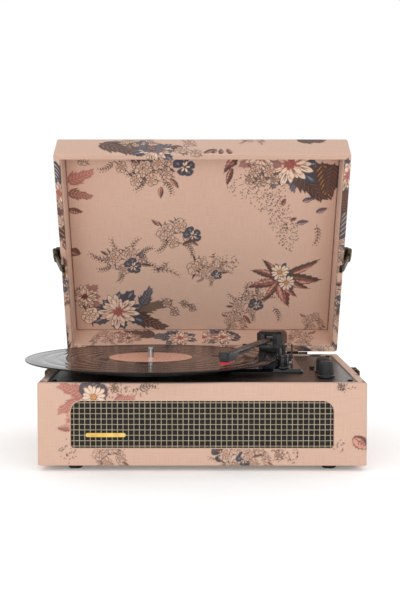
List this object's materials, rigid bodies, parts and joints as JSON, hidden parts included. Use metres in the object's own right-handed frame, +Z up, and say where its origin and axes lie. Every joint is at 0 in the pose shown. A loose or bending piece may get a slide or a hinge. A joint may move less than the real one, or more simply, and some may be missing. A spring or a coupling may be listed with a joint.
{
  "type": "suitcase record player",
  "caption": "Portable suitcase record player with a wrapped case, hinged tray lid, deck with platter, record and tonearm, knobs and a wire-fronted speaker grille.",
  "frame": {"origin": "on the surface it stands on, under the middle of the whole object's box as it stands with the lid open", "axes": "+Z up, -Y towards the front with the speaker grille, +X towards the knobs at the right"},
  "size_m": [0.4051, 0.349, 0.3768],
  "materials": {
    "wrap_fabric": "printed woven book cloth over board",
    "liner_fabric": "printed woven cloth",
    "board": "raw fibreboard",
    "deck_vinyl": "dark brown grained, satin",
    "grille_cloth": "open acoustic weave",
    "grille_wire": "pale metallic lattice",
    "plain_brass": "satin strip",
    "antique_bronze": "antiqued, worn on edges",
    "black_steel": "black oxide",
    "screw_steel": "zinc plated",
    "chrome": "polished",
    "rubber": "matt",
    "black_gloss": "gloss",
    "black_matte": "fine matt",
    "arm_silver": "satin anodised",
    "red_plastic": "gloss",
    "vinyl": "pressed grooves",
    "label_paper": "matt",
    "mat_felt": "felt",
    "platter_steel": "satin black",
    "bearing_brass": "turned",
    "motor_steel": "drawn",
    "circuit": "glass fibre board",
    "cone_paper": "pressed"
  },
  "bodies": {
    "case": {"base_frame": "wrap_fabric", "base_bottom": "board", "feet": "rubber", "bottom_screws": "screw_steel", "corner_blocks": "board", "deck_board": "deck_vinyl", "deck_screws": "black_steel", "grille_cloth": "grille_cloth", "grille_wires": "grille_wire", "grille_badge": "plain_brass", "speaker_baffle": "board", "speaker_baskets": "black_steel", "speaker_cones": "cone_paper", "hinge_base_leaves": "black_steel", "hinge_pins": "screw_steel", "case_hardware_screws": "antique_bronze", "latch_catches": "antique_bronze", "tonearm_plate": "black_gloss", "plate_screws": "chrome", "arm_rest": "black_gloss", "cue_housing": "black_matte", "pivot_post": "black_matte", "spindle": "chrome", "spindle_bearing": "bearing_brass", "motor": "motor_steel", "drive_belt": "rubber", "circuit_board": "circuit", "board_standoffs": "black_matte", "potentiometers": "black_matte", "jack_plate": "black_matte", "rca_jacks": "plain_brass", "aux_jack": "black_matte", "power_jack": "black_matte", "speed_switch": "black_matte"},
    "lid": {"lid_frame": "wrap_fabric", "lid_panel": "wrap_fabric", "lid_liner": "liner_fabric", "lid_back_board": "liner_fabric", "hinge_lid_leaves": "black_steel", "lid_hardware_screws": "antique_bronze", "latch_plates": "antique_bronze"},
    "hasp_left": {"hasp_left": "antique_bronze"},
    "hasp_right": {"hasp_right": "antique_bronze"},
    "platter": {"platter": "platter_steel", "slip_mat": "mat_felt", "record": "vinyl", "record_label": "label_paper"},
    "pulley": {"motor_pulley": "bearing_brass"},
    "yoke": {"arm_yoke": "black_matte", "pivot_cap": "black_matte"},
    "arm": {"arm_tube": "arm_silver", "headshell": "black_matte", "cartridge": "black_matte", "stylus": "red_plastic"},
    "cue_platform": {"cue_platform": "black_matte"},
    "cue_lever": {"cue_lever": "black_matte"},
    "volume_knob": {"volume_knob": "black_matte"},
    "pitch_knob": {"pitch_knob": "black_matte"},
    "speed_lever": {"speed_lever": "black_matte"}
  },
  "joints": [
    {"name": "lid_hinge", "type": "hinge", "parent": "case", "child": "lid", "pos_m": [0.01024, 0.13728, 0.0974], "axis": [-1, 0, 0], "range_deg": [-43.5, 28.5]},
    {"name": "hasp_right_hinge", "type": "hinge", "parent": "lid", "child": "hasp_right", "pos_m": [0.19524, 0.07407, 0.23206], "axis": [0, -0.4772, 0.8788], "range_deg": [-4, 34]},
    {"name": "hasp_left_hinge", "type": "hinge", "parent": "lid", "child": "hasp_left", "pos_m": [-0.17476, 0.07407, 0.23206], "axis": [0, 0.4772, -0.8788], "range_deg": [-4, 34]},
    {"name": "platter_spin", "type": "hinge", "parent": "case", "child": "platter", "pos_m": [-0.05176, -0.02372, 0.0956], "axis": [0, 0, 1], "continuous": true},
    {"name": "pulley_spin", "type": "hinge", "parent": "case", "child": "pulley", "pos_m": [-0.08744, 0.04339, 0.0956], "axis": [0, 0, 1], "continuous": true},
    {"name": "arm_swing", "type": "hinge", "parent": "case", "child": "yoke", "pos_m": [0.10044, 0.07828, 0.0956], "axis": [0, 0, 1], "range_deg": [-21.5, 20.8]},
    {"name": "arm_lift", "type": "hinge", "parent": "yoke", "child": "arm", "pos_m": [0.10044, 0.07828, 0.1228], "axis": [-0.948, 0.3183, 0], "range_deg": [0, 3.5]},
    {"name": "cue_rise", "type": "slide", "parent": "case", "child": "cue_platform", "axis": [0, 0, 1], "range_m": [0, 0.00325]},
    {"name": "cue_lever_turn", "type": "hinge", "parent": "case", "child": "cue_lever", "pos_m": [0.11253, 0.02977, 0.1049], "axis": [-1, 0, 0], "range_deg": [0, 56.5]},
    {"name": "volume_turn", "type": "hinge", "parent": "case", "child": "volume_knob", "pos_m": [0.15214, -0.09872, 0.0956], "axis": [0, 0, 1], "range_deg": [-150, 150]},
    {"name": "pitch_turn", "type": "hinge", "parent": "case", "child": "pitch_knob", "pos_m": [0.15264, -0.06212, 0.0956], "axis": [0, 0, 1], "range_deg": [-150, 150]},
    {"name": "speed_slide", "type": "slide", "parent": "case", "child": "speed_lever", "axis": [0, 1, 0], "range_m": [-0.006, 0.006]}
  ],
  "couplings": [
    {"joint": "pulley_spin", "follows": "platter_spin", "ratio": 14.5},
    {"joint": "cue_rise", "follows": "arm_lift", "m_per_rad": 0.05},
    {"joint": "cue_lever_turn", "follows": "arm_lift", "ratio": 16}
  ]
}
